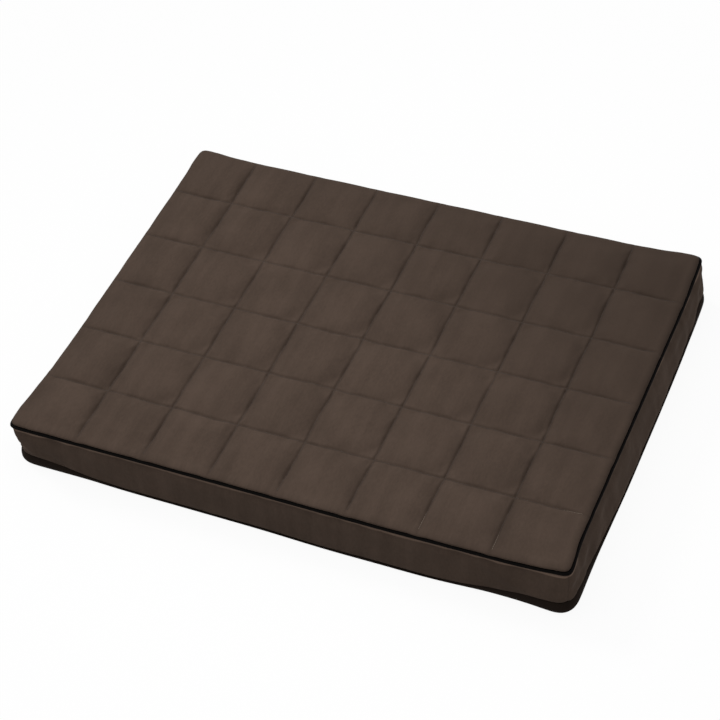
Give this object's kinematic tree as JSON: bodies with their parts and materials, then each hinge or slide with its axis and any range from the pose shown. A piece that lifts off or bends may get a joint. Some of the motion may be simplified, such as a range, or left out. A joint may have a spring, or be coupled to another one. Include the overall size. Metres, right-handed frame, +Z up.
{
  "type": "pet cushion bed",
  "caption": "Flat rectangular pet bed: quilted microsuede top with black piping, seamed side bands, dark base cloth, a zip across the rear band and a foam core in a liner.",
  "frame": {"origin": "middle of the underside of the base cloth, on the floor that the bed lies on", "axes": "+X along the long side, to the right as seen from the front; +Y towards the rear side, which has the zip; +Z up"},
  "size_m": [0.914, 0.6903, 0.0924],
  "materials": {
    "suede_top": "matte",
    "suede_band": "matte",
    "base_cloth": "matte",
    "piping_cloth": "satin",
    "liner_cloth": "matte",
    "batting": "matte",
    "support_foam": "matte",
    "topper_foam": "matte",
    "zip_nylon": "satin",
    "zip_metal": "satin"
  },
  "bodies": {
    "bed": {"base_panel": "base_cloth", "liner_floor": "liner_cloth", "support_foam": "support_foam", "topper_foam": "topper_foam", "liner_cover": "liner_cloth", "quilt_backing": "liner_cloth", "quilt_wadding": "batting", "quilt_face": "suede_top", "piping_cord": "batting", "piping_sleeve": "piping_cloth", "left_band": "suede_band", "front_band": "suede_band", "right_band": "suede_band", "zip_end_band_right": "suede_band", "zip_end_band_left": "suede_band", "zip_panel_upper": "suede_band", "zip_panel_lower": "suede_band", "zip_bottom_stop": "zip_metal", "zip_tape_upper": "zip_nylon", "zip_coil_upper": "zip_nylon", "zip_top_stop_upper": "zip_metal", "zip_tape_lower": "zip_nylon", "zip_coil_lower": "zip_nylon", "zip_top_stop_lower": "zip_metal"},
    "slider": {"zip_slider": "zip_metal"},
    "pull": {"zip_pull": "zip_metal"}
  },
  "joints": [
    {"name": "zip_slide", "type": "slide", "parent": "bed", "child": "slider", "axis": [-1, 0, 0], "range_m": [0, 0.769]},
    {"name": "pull_swing", "type": "hinge", "parent": "slider", "child": "pull", "pos_m": [0.3845, 0.3452, 0.04], "axis": [0, 0, -1], "range_deg": [0, 180]}
  ]
}
